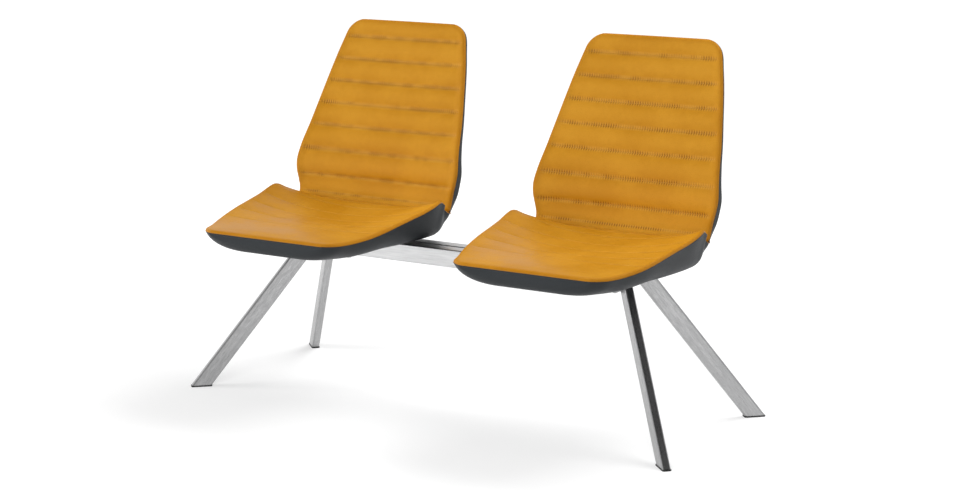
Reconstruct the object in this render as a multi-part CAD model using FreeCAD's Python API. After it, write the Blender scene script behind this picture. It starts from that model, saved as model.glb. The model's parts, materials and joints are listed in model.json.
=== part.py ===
import FreeCAD, Part
import math
import os
from FreeCAD import Vector

os.makedirs("parts", exist_ok=True)

# Two upholstered seats on one aluminium beam, carried by four splayed flat-tube legs.
# All sizes are in millimetres. X runs along the beam, +X to the right of a person who
# looks at the seats from the front. The front of the seats points to -Y, and Z is up.
# The model is built with the beam's middle at Y = 0. At the end it is moved so that the
# origin lies on the floor under the middle of the whole piece of furniture.

# Places of the seats and of the beam
seat_pitch = 710.0
beam_overhang = 65.0
beam_depth = 80.0
beam_height = 44.0
beam_top = 381.0
beam_wall = 3.0
beam_edge_radius = 3.0

# Slots in the beam that hold the slot nuts
slot_mouth = 9.0
slot_width = 18.0
slot_lip = 3.0
slot_depth = 7.5
slot_skin = 2.5
bottom_slot_offset = 22.0

# Plate under each seat
plate_thickness = 4.0
plate_half_length = 120.0
plate_front = 165.0
plate_rear = 66.0
plate_corner = 14.0

# Flat land on the shell's underside that the plate touches
land_height = 1.0
land_margin = 4.0

# Screw positions on the seat plate, from the middle of the seat and of the beam
seat_bolt_x = 95.0
seat_bolt_front = 140.0
seat_bolt_rear = 50.0
slot_screw_x = 45.0

# Fasteners
bolt_diameter = 8.0
bolt_hole = 8.6
bolt_head_across = 13.0
bolt_head_height = 5.3
countersink_diameter = 16.0
countersink_depth = 3.2
slot_nut_length = 22.0
slot_nut_height = 6.0
slot_nut_fit = 0.4
sleeve_diameter = 15.0
tee_nut_flange = 21.0
tee_nut_flange_thickness = 1.5
tee_nut_barrel = 10.5
fit = 0.15

# Side profile of the seat shell: level base, rear bend, lumbar stretch, backrest
bend_start = 52.0
bend_radius = 100.0
bend_angle = math.radians(84.0)
lumbar_length = 30.0
lean_radius = 340.0
back_angle = math.radians(67.0)
back_length = 300.0

# Shell walls and layers
shell_wall = 4.0
board_thickness = 8.0
board_side_clearance = 9.0
board_front_clearance = 14.0
board_top_clearance = 17.0
board_recess = 1.2
seat_board_level = 24.0
back_board_level = 13.0
layer_gap = 0.3

# Front of the seat and its corners
seat_front = 352.0
front_corner_radius = 36.0
bow_length = 34.0
bow_height = 35.0

# Top of the backrest and its corners
top_corner_radius = 38.0
top_round_length = 14.0
top_round_height = 9.0

# Rounding between the shell's base and its side: share of the side that it may take up
hull_side_share = 0.8

# Upholstery
pad_edge = 7.0
pad_side_bulge = 1.6
pad_shoulder = 2.0
pad_inset = 0.5
pad_round_length = 14.0
pad_round_drop = 5.0
lip_length = 6.0
back_channel_depth = 2.4
seat_channel_depth = 1.2
channel_pitch = 60.3
top_channel = 48.0
back_seams = 7
seat_seams = 6
seat_first_seam = 42.0
crease_angle = math.radians(47.0)
crease_gap = 1.0

# Pegs that hold the shell to the board behind the backrest
peg_radius = 3.0
peg_boss_radius = 7.0
peg_start = 2.0
peg_places = ((165.0, 190.0), (128.0, 440.0))

# Legs: how far their feet and tops lie past the beam's ends, and from its middle line
leg_foot_out = 231.0
leg_foot_y = 241.0
leg_top_out = 39.0
leg_top_y = 57.0
leg_broad = 40.0
leg_narrow = 20.0
leg_corner = 5.0
leg_wall = 2.0
leg_top_gap = 11.0
glide_thickness = 3.0
glide_margin = 0.8
glide_plug = 18.0

# Angle brackets that join the legs to the beam's ends
bracket_thickness = 6.0
bracket_flange_length = 96.0
bracket_flange_half = 36.0
bracket_end_half = 60.0
bracket_top_gap = 3.0
bracket_corner = 8.0
leg_screw_near = 28.0
leg_screw_far = 76.0

# Worked out from the sizes above
beam_length = seat_pitch + 2.0 * beam_overhang
leg_foot_x = beam_length / 2.0 + leg_foot_out
leg_top_x = beam_length / 2.0 + leg_top_out
plate_top = beam_top + plate_thickness
base_level = plate_top + land_height
beam_bottom = beam_top - beam_height
bend_length = bend_radius * bend_angle
lean_start = bend_length + lumbar_length
lean_length = lean_radius * (bend_angle - back_angle)
back_start = lean_start + lean_length
path_end = back_start + back_length
front_s = -seat_front - bend_start
crease_s = bend_radius * crease_angle
seat_centres = (-seat_pitch / 2.0, seat_pitch / 2.0)
sides = ("left", "right")
back_seams_at = [path_end - top_channel - i * channel_pitch for i in range(back_seams)]
seat_seams_at = [crease_s - seat_first_seam - i * channel_pitch for i in range(seat_seams)]


# Half-width of the seat's edge along the side profile, before the front corners are rounded off
SEAT_HALF = (
    (-397.0, 192.0), (-345.0, 209.0), (-295.0, 226.0), (-245.0, 237.0), (-195.0, 243.5),
    (-145.0, 248.0), (-95.0, 253.0), (-45.0, 257.0), (0.0, 250.0), (45.0, 237.0), (82.0, 234.5),
)
# Distance of the seat's edge from the shell's outer middle line: wings, then the side notch
SEAT_EDGE = (
    (-397.0, 38.5), (-345.0, 38.5), (-295.0, 43.5), (-245.0, 51.5), (-195.0, 60.5),
    (-145.0, 68.5), (-95.0, 76.5), (-55.0, 86.0), (-31.0, 92.0), (-17.0, 90.5), (0.0, 82.0),
    (24.0, 77.5), (37.0, 72.0), (49.0, 64.5), (60.0, 54.5), (70.0, 42.5), (82.0, 35.0),
)
# Distance of the seat cushion's middle from the shell's outer middle line
SEAT_CROWN = (
    (-397.0, 46.0), (-365.0, 50.5), (-315.0, 51.0), (-245.0, 48.0), (-145.0, 46.0),
    (-45.0, 52.0), (0.0, 60.0), (30.0, 60.0), (60.0, 53.0), (82.0, 46.0),
)
# Half-width of the backrest's edge along the side profile
BACK_HALF = (
    (70.0, 234.0), (105.0, 233.5), (147.0, 237.5), (177.0, 244.5), (200.0, 247.0),
    (227.0, 243.0), (277.0, 233.5), (317.0, 227.5), (372.0, 218.0), (427.0, 208.0),
    (481.0, 197.0), (540.0, 182.5), (582.0, 172.0),
)
# Distance of the backrest's edge from the shell's outer middle line
BACK_EDGE = (
    (70.0, 33.0), (84.0, 35.0), (105.0, 38.0), (122.0, 40.0), (147.0, 42.5), (177.0, 45.0),
    (227.0, 40.5), (277.0, 33.5), (317.0, 30.5), (372.0, 29.0), (427.0, 28.0), (481.0, 27.5),
    (582.0, 27.0),
)
# Distance of the backrest cushion's middle from the shell's outer middle line
BACK_CROWN = (
    (82.0, 38.0), (115.0, 35.0), (147.0, 33.5), (200.0, 33.0), (300.0, 31.0), (400.0, 30.5),
    (480.0, 31.0), (540.0, 33.5), (582.0, 36.0),
)
# Half-width of the shell's base along the side profile
BASE_HALF = (
    (-397.0, 162.0), (-345.0, 182.0), (-295.0, 202.0), (-245.0, 215.0), (-145.0, 225.0),
    (-45.0, 229.0), (0.0, 228.0), (50.0, 221.0), (80.0, 220.0), (110.0, 226.0),
    (147.0, 237.0), (177.0, 244.0), (200.0, 246.5), (227.0, 242.0), (277.0, 232.5),
    (317.0, 226.5), (372.0, 216.5), (427.0, 206.5), (481.0, 195.5), (540.0, 181.0),
    (582.0, 170.5),
)
# How far in from the shell's lower corner the rounding of that corner begins
CORNER_REACH = (
    (-397.0, 90.0), (-345.0, 84.0), (-295.0, 70.0), (-245.0, 56.0), (-145.0, 44.0),
    (-45.0, 36.0), (80.0, 33.0), (110.0, 20.0), (147.0, 12.0), (582.0, 10.0),
)
# How far the shell's base hangs below its level in front of the seat plate
BASE_BELLY = (
    (-402.0, 0.0), (-380.0, 4.0), (-350.0, 7.5), (-315.0, 8.5), (-280.0, 7.0), (-250.0, 3.2),
    (-228.0, 0.3), (-215.0, 0.0), (-200.0, 0.0), (582.0, 0.0),
)
# How far the shell bulges backwards between its two sides
BASE_CROWN = (
    (-397.0, 0.0), (0.0, 0.0), (60.0, 5.0), (110.0, 12.0), (147.0, 16.0), (200.0, 18.0),
    (277.0, 16.0), (372.0, 15.0), (582.0, 14.0),
)


def along(table, t):
    """Value at t on a smooth line through the table's pairs, level beyond its ends."""
    if t <= table[0][0]:
        return table[0][1]
    if t >= table[-1][0]:
        return table[-1][1]
    index = max(i for i in range(len(table) - 1) if table[i][0] <= t)
    slopes = []
    for i in (index, index + 1):
        low = table[max(i - 1, 0)]
        high = table[min(i + 1, len(table) - 1)]
        slopes.append((high[1] - low[1]) / (high[0] - low[0]))
    step = table[index + 1][0] - table[index][0]
    u = (t - table[index][0]) / step
    start = (2 * u**3 - 3 * u**2 + 1) * table[index][1] + (u**3 - 2 * u**2 + u) * step * slopes[0]
    end = (3 * u**2 - 2 * u**3) * table[index + 1][1] + (u**3 - u**2) * step * slopes[1]
    return start + end


def profile_point(s):
    """Y, Z and rise angle of the shell's outer middle line at the length s past the bend's start."""
    if s <= 0.0:
        return bend_start + s, base_level, 0.0
    if s <= bend_length:
        turn = s / bend_radius
        y = bend_start + bend_radius * math.sin(turn)
        return y, base_level + bend_radius * (1.0 - math.cos(turn)), turn
    y, z, turn = profile_point(bend_length)
    if s <= lean_start:
        run = s - bend_length
        return y + run * math.cos(turn), z + run * math.sin(turn), turn
    y += lumbar_length * math.cos(turn)
    z += lumbar_length * math.sin(turn)
    angle = bend_angle - (min(s, back_start) - lean_start) / lean_radius
    y += lean_radius * (math.sin(bend_angle) - math.sin(angle))
    z += lean_radius * (math.cos(angle) - math.cos(bend_angle))
    run = max(s - back_start, 0.0)
    return y + run * math.cos(angle), z + run * math.sin(angle), angle


def place(x, n, s):
    """Point at x across and n inwards from the shell's outer middle line at s."""
    y, z, turn = profile_point(s)
    return Vector(x, y - n * math.sin(turn), z + n * math.cos(turn))


def line(a, b):
    return Part.LineSegment(a, b).toShape()


def arc(a, middle, b):
    return Part.Arc(a, middle, b).toShape()


def bend(a, corner, b):
    """Curve from a to b that leaves and arrives along the lines to the corner between them."""
    curve = Part.BezierCurve()
    curve.setPoles([a, corner, b])
    return curve.toShape()


def closed_face(points):
    return Part.Face(Part.makePolygon(list(points) + [points[0]]))


def corner_cut(d, radius):
    """How far a rounded corner draws the edge in at the distance d from the end."""
    if d >= radius:
        return 0.0
    return radius - math.sqrt(max(radius**2 - (radius - d)**2, 0.0))


def end_lift(d, length, height):
    """How far the base is drawn in towards the edge near a rounded end."""
    if d >= length:
        return 0.0
    return height * (1.0 - math.sqrt(max(1.0 - ((length - d) / length)**2, 0.0)))


def edge_half(s):
    """Half-width of the upholstered edge at s, without rounded corners."""
    if s < crease_s:
        return along(SEAT_HALF, s)
    return along(BACK_HALF, s)


def edge_level(s):
    """Distance of the shell's edge from its outer middle line at s."""
    if s < crease_s:
        return along(SEAT_EDGE, s)
    return along(BACK_EDGE, s)


def hull_section(s, inset, front, rear, extra):
    """Closed outline across the shell at s: base, rounded lower corners, sides and a lid."""
    d_front = s - front
    d_rear = rear - s
    cut = corner_cut(d_front, front_corner_radius - inset)
    cut += corner_cut(d_rear, top_corner_radius - inset)
    lift = end_lift(d_front, bow_length, bow_height - inset)
    lift += end_lift(d_rear, top_round_length, top_round_height - inset)
    lift -= along(BASE_BELLY, s)
    crown = along(BASE_CROWN, s)
    base_half = along(BASE_HALF, s) - inset - cut
    rim_half = edge_half(s) - inset - cut
    rim = edge_level(s)
    height = rim + extra
    low = crown + lift + inset
    slope = (rim_half - base_half) / (rim - crown)
    corner = (base_half + slope * (lift + inset), low)
    reach = along(CORNER_REACH, s)
    start = (corner[0] - reach, corner[1] - 2.0 * crown / base_half * reach)
    rise = min(reach, hull_side_share * (rim - low))
    end = (corner[0] + slope * rise, corner[1] + rise)
    top_half = corner[0] + slope * (height - low)
    left_start = place(-start[0], start[1], s)
    right_start = place(start[0], start[1], s)
    base_middle = place(0.0, lift + inset, s)
    if crown < 0.01:
        base = line(left_start, right_start)
    else:
        base = arc(left_start, base_middle, right_start)
    edges = [
        base,
        bend(right_start, place(corner[0], corner[1], s), place(end[0], end[1], s)),
        line(place(end[0], end[1], s), place(top_half, height, s)),
        line(place(top_half, height, s), place(-top_half, height, s)),
        line(place(-top_half, height, s), place(-end[0], end[1], s)),
        bend(place(-end[0], end[1], s), place(-corner[0], corner[1], s), left_start),
    ]
    return Part.Wire(edges)


def profile_places(front, rear, front_steps, rear_steps):
    """Section places along the profile between a rounded front and a rounded top."""
    places = [front + d for d in front_steps]
    places += [front_s + d for d in (102.0, 152.0, 202.0, 257.0, 312.0, 350.0, 372.0, 388.0)]
    places += [bend_length * i / 6.0 for i in range(7)]
    places += [lean_start, lean_start + 25.0, lean_start + 50.0, lean_start + 75.0, back_start]
    places += [back_start + back_length * f for f in (0.14, 0.32, 0.5, 0.67, 0.8)]
    places += [rear - d for d in rear_steps]
    return places


def smooth_loft(sections):
    return Part.makeLoft(sections, True, False, False, 5)


def hull_volume(inset, extra):
    """Solid within the shell's outer face moved inwards by inset, up to extra past its edge."""
    front = front_s + inset
    rear = path_end - inset
    places = profile_places(
        front, rear, (0.0, 1.5, 5.0, 11.0, 20.0, 33.0, 52.0), (38.0, 24.0, 13.0, 6.0, 2.0, 0.0)
    )
    return smooth_loft([hull_section(s, inset, front, rear, extra) for s in places])


def arc_level(x, half, edge, middle):
    """Level at x of an arc that is at middle over x = 0 and at edge over x = half."""
    sag = edge - middle
    radius = (half**2 + sag**2) / (2.0 * sag)
    return middle + radius - math.sqrt(radius**2 - x**2)


def board_half(s):
    """Half-width of the moulded board, with its rounded front and top corners."""
    half = edge_half(s) - board_side_clearance
    half -= corner_cut(s - front_s - board_front_clearance, front_corner_radius - board_side_clearance)
    half -= corner_cut(path_end - board_top_clearance - s, top_corner_radius - board_side_clearance)
    return half


def board_middle(s):
    """Level of the board's upper face at its middle."""
    share = min(max(s / bend_length, 0.0), 1.0)
    return seat_board_level + (back_board_level - seat_board_level) * share


def board_level(x, s):
    """Level of the board's upper face at x and s."""
    return arc_level(x, board_half(s), edge_level(s), board_middle(s))


def board_section(s):
    half = board_half(s)
    edge = edge_level(s)
    middle = board_middle(s)
    low = board_thickness
    edges = [
        arc(place(-half, edge, s), place(0.0, middle, s), place(half, edge, s)),
        line(place(half, edge, s), place(half, edge - low, s)),
        arc(place(half, edge - low, s), place(0.0, middle - low, s), place(-half, edge - low, s)),
        line(place(-half, edge - low, s), place(-half, edge, s)),
    ]
    return Part.Wire(edges)


def moulded_board():
    """Moulded plywood board under both cushions, from the seat's front to the backrest's top."""
    front = front_s + board_front_clearance
    rear = path_end - board_top_clearance
    places = profile_places(front, rear, (0.0, 2.0, 8.0, 20.0, 40.0), (29.0, 18.0, 9.0, 3.0, 0.0))
    return smooth_loft([board_section(s) for s in places])


def pad_section(s, half, inner_half, under, middle_under, top, middle_top):
    """Closed outline across a cushion: crown, bulging sides and a lip over the shell's edge."""
    bulge = half + pad_side_bulge
    side_level = (under + top) / 2.0
    shoulder = half - pad_shoulder
    edges = [
        arc(place(-shoulder, top, s), place(0.0, middle_top, s), place(shoulder, top, s)),
        arc(place(shoulder, top, s), place(bulge, side_level, s), place(half, under, s)),
        line(place(half, under, s), place(inner_half, under, s)),
        arc(place(inner_half, under, s), place(0.0, middle_under, s), place(-inner_half, under, s)),
        line(place(-inner_half, under, s), place(-half, under, s)),
        arc(place(-half, under, s), place(-bulge, side_level, s), place(-shoulder, top, s)),
    ]
    return Part.Wire(edges)


def seam_dip(s, seams, depth):
    """How far the nearest sewn seam draws the cover in at s."""
    gap = min(abs(s - seam) for seam in seams)
    share = max(1.0 - 2.0 * gap / channel_pitch, 0.0)
    return depth * (1.0 - math.sqrt(1.0 - share**2))


def under_middle(s, under):
    """Level of a cushion's underside at its middle: on the board, and over the shell's ends."""
    on_board = board_middle(s) + layer_gap
    d = min(s - front_s, path_end - s)
    share = min(max((d - lip_length) / (board_top_clearance - lip_length), 0.0), 1.0)
    return under - 0.5 + (on_board - under + 0.5) * share


def seat_pad_section(s):
    cut = corner_cut(s - front_s, front_corner_radius)
    drop = end_lift(s - front_s, pad_round_length, pad_round_drop)
    dip = seam_dip(s, seat_seams_at, seat_channel_depth)
    half = edge_half(s) - pad_inset - cut
    inner_half = min(edge_half(s) - board_side_clearance - cut, half - 6.0)
    under = edge_level(s) + layer_gap
    top = under + pad_edge - drop - 0.3 * dip
    middle_top = along(SEAT_CROWN, s) - drop - dip
    return pad_section(s, half, inner_half, under, under_middle(s, under), top, middle_top)


def back_pad_section(s):
    cut = corner_cut(path_end - s, top_corner_radius)
    drop = end_lift(path_end - s, pad_round_length, pad_round_drop)
    dip = seam_dip(s, back_seams_at, back_channel_depth)
    half = edge_half(s) - pad_inset - cut
    inner_half = edge_half(s) - board_side_clearance - cut
    under = edge_level(s) + layer_gap
    top = under + pad_edge - drop - 0.3 * dip
    middle_top = along(BACK_CROWN, s) - drop - dip
    return pad_section(s, half, inner_half, under, under_middle(s, under), top, middle_top)


def channel(section, start, end):
    """One quilted channel of a cushion between two seams."""
    shares = (0.0, 0.05, 0.15, 0.32, 0.5, 0.68, 0.85, 0.95, 1.0)
    return smooth_loft([section(start + (end - start) * share) for share in shares])


def fused(shapes):
    whole = shapes[0]
    for shape in shapes[1:]:
        whole = whole.fuse(shape)
    return whole


def cut_all(shape, tools):
    for tool in tools:
        shape = shape.cut(tool)
    return shape


def seat_cushion():
    """Seat cushion: smooth front, then channels up to the crease in front of the backrest."""
    first = seat_seams_at[-1]
    steps = [front_s + d for d in (0.0, 1.5, 4.0, 8.0, 14.0, 24.0, 40.0, 62.0, 90.0)]
    steps += [first - d for d in (24.0, 12.0, 4.0, 0.0)]
    pieces = [smooth_loft([seat_pad_section(s) for s in steps])]
    ends = list(reversed(seat_seams_at)) + [crease_s - crease_gap / 2.0]
    for start, end in zip(ends, ends[1:]):
        pieces.append(channel(seat_pad_section, start, end))
    return fused(pieces)


def back_cushion():
    """Backrest cushion: channels from the crease up to the rounded top."""
    ends = [crease_s + crease_gap / 2.0] + list(reversed(back_seams_at))
    pieces = [channel(back_pad_section, start, end) for start, end in zip(ends, ends[1:])]
    first = back_seams_at[0]
    steps = [first + d for d in (0.0, 3.0, 8.0)]
    steps += [path_end - d for d in (32.0, 23.0, 14.0, 8.0, 4.0, 1.5, 0.0)]
    pieces.append(smooth_loft([back_pad_section(s) for s in steps]))
    return fused(pieces)


def cylinder(base, direction, radius, length):
    return Part.makeCylinder(radius, length, base, direction)


def upright(x, y, low, high, radius):
    """Upright cylinder between two heights."""
    return cylinder(Vector(x, y, low), Vector(0, 0, 1), radius, high - low)


def hexagon(x, y, low, high, across):
    """Upright hexagonal prism with the given size across its flats."""
    reach = across / math.sqrt(3.0)
    points = []
    for i in range(6):
        angle = math.radians(60.0 * i)
        points.append(Vector(x + reach * math.cos(angle), y + reach * math.sin(angle), low))
    return closed_face(points).extrude(Vector(0, 0, high - low))


def block(x0, x1, y0, y1, z0, z1):
    return Part.makeBox(x1 - x0, y1 - y0, z1 - z0, Vector(x0, y0, z0))


def rounded_face(centre, u, v, half_u, half_v, radius):
    """Rounded rectangle around centre in the plane of the unit vectors u and v."""
    def at(a, b):
        return centre + u * a + v * b
    inner_u = half_u - radius
    inner_v = half_v - radius
    step = radius * math.sqrt(0.5)
    edges = []
    for su, sv in ((1, 1), (-1, 1), (-1, -1), (1, -1)):
        first = at(su * half_u, sv * inner_v)
        last = at(su * inner_u, sv * half_v)
        middle = at(su * (inner_u + step), sv * (inner_v + step))
        if su * sv > 0:
            edges.append(arc(first, middle, last))
            edges.append(line(last, at(-su * inner_u, sv * half_v)))
        else:
            edges.append(arc(last, middle, first))
            edges.append(line(first, at(su * half_u, -sv * inner_v)))
    return Part.Face(Part.Wire(edges))


def flat_plate(x, y, half_x, half_y, low, high, radius):
    face = rounded_face(Vector(x, y, low), Vector(1, 0, 0), Vector(0, 1, 0), half_x, half_y, radius)
    return face.extrude(Vector(0, 0, high - low))


def seat_bolt_points():
    """X and Y of the seat bolts, from the middle of the seat and of the beam."""
    return [(sx * seat_bolt_x, y) for sx in (-1, 1) for y in (-seat_bolt_front, seat_bolt_rear)]


def bolt_board_top(x, y):
    """Height of the board's upper face over a seat bolt."""
    return base_level + board_level(x, y - bend_start)


def tee_nut_seat(x, y):
    """Height of the flat that the tee nut's flange rests on, let into the board."""
    return bolt_board_top(x, y) - board_recess - tee_nut_flange_thickness


def sleeve_top(x, y):
    """Height of the flat under the board that the spacer sleeve touches."""
    return bolt_board_top(x, y) - board_thickness + board_recess


def peg_line(x, s):
    """Start, direction, boss length and full length of a peg between the shell and the board."""
    shell_level = arc_level(x, along(BASE_HALF, s), along(BASE_CROWN, s) + 0.01, 0.0)
    board_top = board_level(x, s)
    start = place(x, shell_level + peg_start, s)
    direction = (place(x, shell_level + 50.0, s) - start).normalize()
    boss = board_top - board_thickness - 1.2 - shell_level - peg_start
    return start, direction, boss, board_top - board_recess - shell_level - peg_start


def peg_points():
    return [(side * x, s) for x, s in peg_places for side in (-1, 1)]


def seat_shell():
    """One-piece moulded shell under the seat and behind the backrest, with its holes and bosses."""
    shell = hull_volume(0.0, 0.0).cut(hull_volume(shell_wall, 6.0))
    land = flat_plate(
        0.0, (plate_rear - plate_front) / 2.0, plate_half_length + land_margin,
        (plate_rear + plate_front) / 2.0 + land_margin, plate_top, base_level + shell_wall / 2.0,
        plate_corner + land_margin,
    )
    shell = shell.fuse(land)
    for x, s in peg_points():
        start, direction, boss, length = peg_line(x, s)
        if boss > shell_wall:
            shell = shell.fuse(cylinder(start, direction, peg_boss_radius, boss))
        shell = shell.cut(cylinder(start, direction, peg_radius + fit, length))
    for x, y in seat_bolt_points():
        shell = shell.cut(upright(x, y, plate_top, base_level + shell_wall + 8.0, bolt_hole / 2.0))
    return shell


def drilled_board():
    """The moulded board with its peg holes, and the seats of its tee nuts and sleeves."""
    board = moulded_board()
    for x, s in peg_points():
        start, direction, boss, length = peg_line(x, s)
        board = board.cut(cylinder(start, direction, peg_radius + fit, length))
    for x, y in seat_bolt_points():
        top = bolt_board_top(x, y)
        flat = tee_nut_seat(x, y)
        board = board.cut(upright(x, y, flat, top + 10.0, tee_nut_flange / 2.0 + fit))
        board = board.cut(upright(x, y, top - 20.0, top, tee_nut_barrel / 2.0 + fit))
        board = board.cut(upright(x, y, top - 20.0, sleeve_top(x, y), sleeve_diameter / 2.0 + fit))
    return board


def seat_plate():
    """Steel plate between the beam and the shell, with holes for its screws."""
    middle_y = (plate_rear - plate_front) / 2.0
    half_y = (plate_rear + plate_front) / 2.0
    plate = flat_plate(0.0, middle_y, plate_half_length, half_y, beam_top, plate_top, plate_corner)
    for x, y in seat_bolt_points():
        plate = plate.cut(upright(x, y, beam_top, plate_top, bolt_hole / 2.0))
    for side in (-1, 1):
        x = side * slot_screw_x
        cone = Part.makeCone(
            bolt_diameter / 2.0 + fit, countersink_diameter / 2.0 + fit, countersink_depth,
            Vector(x, 0.0, plate_top - countersink_depth),
        )
        plate = plate.cut(upright(x, 0.0, beam_top, plate_top, bolt_diameter / 2.0 + fit)).cut(cone)
    return plate


def seat_bolt(x, y):
    head = hexagon(x, y, beam_top - bolt_head_height, beam_top, bolt_head_across)
    top = tee_nut_seat(x, y) + tee_nut_flange_thickness
    return head.fuse(upright(x, y, beam_top - 1.0, top, bolt_diameter / 2.0))


def tee_nut(x, y):
    """Tee nut let into the board: a flange on top and a barrel that takes the bolt."""
    flat = tee_nut_seat(x, y)
    flange = upright(x, y, flat, flat + tee_nut_flange_thickness, tee_nut_flange / 2.0)
    barrel = upright(x, y, sleeve_top(x, y) + fit, flat, tee_nut_barrel / 2.0)
    bore = upright(x, y, flat - 20.0, flat + 10.0, bolt_diameter / 2.0)
    return flange.fuse(barrel).cut(bore)


def spacer_sleeve(x, y, shell):
    """Sleeve that carries the board on the shell's base around a seat bolt."""
    body = upright(x, y, base_level + shell_wall / 2.0, sleeve_top(x, y), sleeve_diameter / 2.0)
    bore = upright(x, y, base_level, sleeve_top(x, y) + 1.0, bolt_hole / 2.0)
    return body.cut(bore).cut(shell)


def back_peg(x, s):
    start, direction, boss, length = peg_line(x, s)
    return cylinder(start, direction, peg_radius, length)


def slot_cut(y, opening, inward):
    """Slot along the beam: opening is the height of its mouth, inward the way it goes, 1 is up."""
    lip = opening + inward * slot_lip
    deep = lip + inward * slot_depth
    half = beam_length / 2.0
    mouth = block(-half, half, y - slot_mouth / 2.0, y + slot_mouth / 2.0, min(opening, lip), max(opening, lip))
    pocket = block(-half, half, y - slot_width / 2.0, y + slot_width / 2.0, min(lip, deep), max(lip, deep))
    return mouth.fuse(pocket)


def slot_housing(y, opening, inward):
    """Metal that stays round a slot inside the beam."""
    deep = opening + inward * (slot_lip + slot_depth + slot_skin)
    half_width = slot_width / 2.0 + slot_skin
    half = beam_length / 2.0
    return block(-half, half, y - half_width, y + half_width, min(opening, deep), max(opening, deep))


def beam_slots():
    """Y, mouth height and inward direction of the three slots."""
    return (
        (0.0, beam_top, -1), (-bottom_slot_offset, beam_bottom, 1), (bottom_slot_offset, beam_bottom, 1),
    )


def beam_block(half_depth, low, high, radius):
    centre = Vector(-beam_length / 2.0, 0.0, (low + high) / 2.0)
    face = rounded_face(
        centre, Vector(0, 1, 0), Vector(0, 0, 1), half_depth, (high - low) / 2.0, radius
    )
    return face.extrude(Vector(beam_length, 0, 0))


def beam_chamber():
    """Hollow inside the beam, past its walls, slot housings and middle web."""
    chamber = beam_block(
        beam_depth / 2.0 - beam_wall, beam_bottom + beam_wall, beam_top - beam_wall, beam_edge_radius / 2.0
    )
    half = beam_length / 2.0
    web = block(-half, half, -slot_skin / 2.0, slot_skin / 2.0, beam_bottom, beam_top)
    return cut_all(chamber, [slot_housing(*slot) for slot in beam_slots()] + [web])


def beam_profile():
    beam = beam_block(beam_depth / 2.0, beam_bottom, beam_top, beam_edge_radius)
    return cut_all(beam, [slot_cut(*slot) for slot in beam_slots()] + [beam_chamber()])


def slot_nut(x, y, opening, inward):
    """Nut in a slot, held against the slot's lips by its screw."""
    lip = opening + inward * slot_lip
    far = lip + inward * slot_nut_height
    half_y = slot_width / 2.0 - slot_nut_fit
    nut = block(
        x - slot_nut_length / 2.0, x + slot_nut_length / 2.0, y - half_y, y + half_y,
        min(lip, far), max(lip, far),
    )
    return nut.cut(upright(x, y, min(lip, far), max(lip, far), bolt_diameter / 2.0))


def plate_screw(x):
    """Countersunk screw that clamps a seat plate to the beam's upper slot."""
    low = beam_top - slot_lip - slot_nut_height
    shank = upright(x, 0.0, low, plate_top, bolt_diameter / 2.0)
    head = Part.makeCone(
        bolt_diameter / 2.0, countersink_diameter / 2.0, countersink_depth,
        Vector(x, 0.0, plate_top - countersink_depth),
    )
    return shank.fuse(head)


def leg_screw_points(side):
    """X and Y of the screws that hold one leg bracket under the beam."""
    reaches = (beam_length / 2.0 - leg_screw_far, beam_length / 2.0 - leg_screw_near)
    return [(side * x, way * bottom_slot_offset) for x in reaches for way in (-1, 1)]


def leg_bracket(side):
    """Steel angle on one end of the beam: a flange under it and one across its end."""
    end = side * beam_length / 2.0
    low = beam_bottom - bracket_thickness
    flange = flat_plate(
        end - side * bracket_flange_length / 2.0, 0.0, bracket_flange_length / 2.0,
        bracket_flange_half, low, beam_bottom, bracket_corner,
    )
    top = beam_top - bracket_top_gap
    centre = Vector(end, 0.0, (low + top) / 2.0)
    face = rounded_face(
        centre, Vector(0, 1, 0), Vector(0, 0, 1), bracket_end_half, (top - low) / 2.0, bracket_corner
    )
    end_flange = face.extrude(Vector(side * bracket_thickness, 0, 0))
    x0, x1 = sorted((end - side * bracket_corner, end))
    root = block(x0, x1, -bracket_flange_half, bracket_flange_half, low, beam_bottom)
    bracket = end_flange.fuse(flange).fuse(root)
    for x, y in leg_screw_points(side):
        bracket = bracket.cut(upright(x, y, low, beam_bottom, bolt_hole / 2.0))
    return bracket


def leg_screw(x, y):
    low = beam_bottom - bracket_thickness
    head = hexagon(x, y, low - bolt_head_height, low, bolt_head_across)
    top = beam_bottom + slot_lip + slot_nut_height
    return head.fuse(upright(x, y, low - 1.0, top, bolt_diameter / 2.0))


def leg_frame(side, way):
    """Foot point, axis, broad direction and narrow direction of one leg."""
    foot = Vector(side * leg_foot_x, way * leg_foot_y, 0.0)
    top = Vector(side * leg_top_x, way * leg_top_y, beam_bottom)
    axis = (top - foot).normalize()
    narrow = axis.cross(Vector(0, 0, 1)).normalize()
    broad = narrow.cross(axis).normalize()
    return foot, axis, broad, narrow


def slanted_bar(side, way, inset, low, high):
    """Slanted bar with a rounded section, cut level at its two ends."""
    foot, axis, broad, narrow = leg_frame(side, way)
    face = rounded_face(
        foot - axis * leg_broad, broad, narrow, leg_broad / 2.0 - inset, leg_narrow / 2.0 - inset,
        leg_corner - min(inset, leg_corner / 2.0),
    )
    bar = face.extrude(axis * ((high + 4.0 * leg_broad) / axis.z))
    reach = leg_foot_x + leg_foot_y
    return bar.common(block(-reach, reach, -reach, reach, low, high))


def leg_tube(side, way):
    """Flat tube from the glide up to the bracket, cut along the bracket's end flange."""
    high = beam_top - leg_top_gap
    tube = slanted_bar(side, way, 0.0, glide_thickness, high)
    tube = tube.cut(slanted_bar(side, way, leg_wall, glide_thickness, high))
    x0, x1 = sorted((0.0, side * (beam_length / 2.0 + bracket_thickness)))
    return tube.cut(block(x0, x1, -leg_foot_y, leg_foot_y, beam_bottom - leg_broad, beam_top))


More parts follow.
